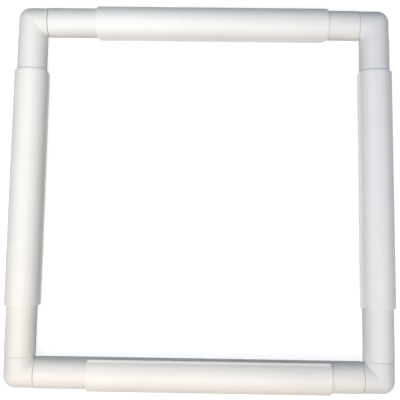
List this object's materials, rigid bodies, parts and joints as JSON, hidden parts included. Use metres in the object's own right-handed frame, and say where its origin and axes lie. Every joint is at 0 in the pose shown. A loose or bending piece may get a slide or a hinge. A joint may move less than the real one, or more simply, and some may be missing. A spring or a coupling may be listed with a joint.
{
  "type": "needlework snap frame",
  "caption": "Square snap-together needlework frame of plastic tubes and corner elbows, with a C-shaped press-fit cloth clamp on each side.",
  "frame": {"origin": "in the middle of the square, on the surface that the frame lies on", "axes": "+X to the right along the top and bottom tubes, +Y up along the side tubes to the top tube, +Z from the back to the front, which carries the cloth"},
  "size_m": [0.283, 0.2824, 0.0238],
  "materials": {
    "tube_plastic": "satin white extruded plastic",
    "elbow_plastic": "satin white moulded plastic",
    "clamp_plastic": "satin white extruded plastic, slightly brighter than the tubes"
  },
  "bodies": {
    "elbow_bottom_left": {"elbow_bottom_left": "elbow_plastic"},
    "tube_top": {"tube_top": "tube_plastic"},
    "tube_bottom": {"tube_bottom": "tube_plastic"},
    "tube_left": {"tube_left": "tube_plastic"},
    "tube_right": {"tube_right": "tube_plastic"},
    "elbow_top_left": {"elbow_top_left": "elbow_plastic"},
    "elbow_top_right": {"elbow_top_right": "elbow_plastic"},
    "elbow_bottom_right": {"elbow_bottom_right": "elbow_plastic"},
    "clamp_top": {"clamp_top": "clamp_plastic"},
    "clamp_bottom": {"clamp_bottom": "clamp_plastic"},
    "clamp_left": {"clamp_left": "clamp_plastic"},
    "clamp_right": {"clamp_right": "clamp_plastic"}
  },
  "joints": [
    {"name": "tube_bottom_turn", "type": "hinge", "parent": "elbow_bottom_left", "child": "tube_bottom", "pos_m": [0, -0.12859, 0.01111], "axis": [1, 0, 0], "continuous": true},
    {"name": "tube_left_turn", "type": "hinge", "parent": "elbow_bottom_left", "child": "tube_left", "pos_m": [-0.12859, 0, 0.01111], "axis": [0, 1, 0], "continuous": true},
    {"name": "tube_right_turn", "type": "hinge", "parent": "elbow_bottom_right", "child": "tube_right", "pos_m": [0.12859, 0, 0.01111], "axis": [0, 1, 0], "continuous": true},
    {"name": "tube_top_turn", "type": "hinge", "parent": "elbow_top_left", "child": "tube_top", "pos_m": [0, 0.12859, 0.01111], "axis": [1, 0, 0], "continuous": true},
    {"name": "right_side_pull", "type": "slide", "parent": "elbow_bottom_left", "child": "elbow_bottom_right", "axis": [1, 0, 0], "range_m": [0, 0.015]},
    {"name": "top_side_pull", "type": "slide", "parent": "elbow_bottom_left", "child": "elbow_top_left", "axis": [0, 1, 0], "range_m": [0, 0.015]},
    {"name": "top_right_pull", "type": "slide", "parent": "elbow_bottom_right", "child": "elbow_top_right", "axis": [0, 1, 0], "range_m": [0, 0.015]},
    {"name": "clamp_top_slide", "type": "slide", "parent": "tube_top", "child": "clamp_top", "axis": [1, 0, 0], "range_m": [-0.0351, 0.0217]},
    {"name": "clamp_bottom_slide", "type": "slide", "parent": "tube_bottom", "child": "clamp_bottom", "axis": [1, 0, 0], "range_m": [-0.0356, 0.0212]},
    {"name": "clamp_left_slide", "type": "slide", "parent": "tube_left", "child": "clamp_left", "axis": [0, 1, 0], "range_m": [-0.0331, 0.0237]},
    {"name": "clamp_right_slide", "type": "slide", "parent": "tube_right", "child": "clamp_right", "axis": [0, 1, 0], "range_m": [-0.0349, 0.0219]}
  ],
  "couplings": [
    {"joint": "top_right_pull", "follows": "top_side_pull", "ratio": 1}
  ]
}
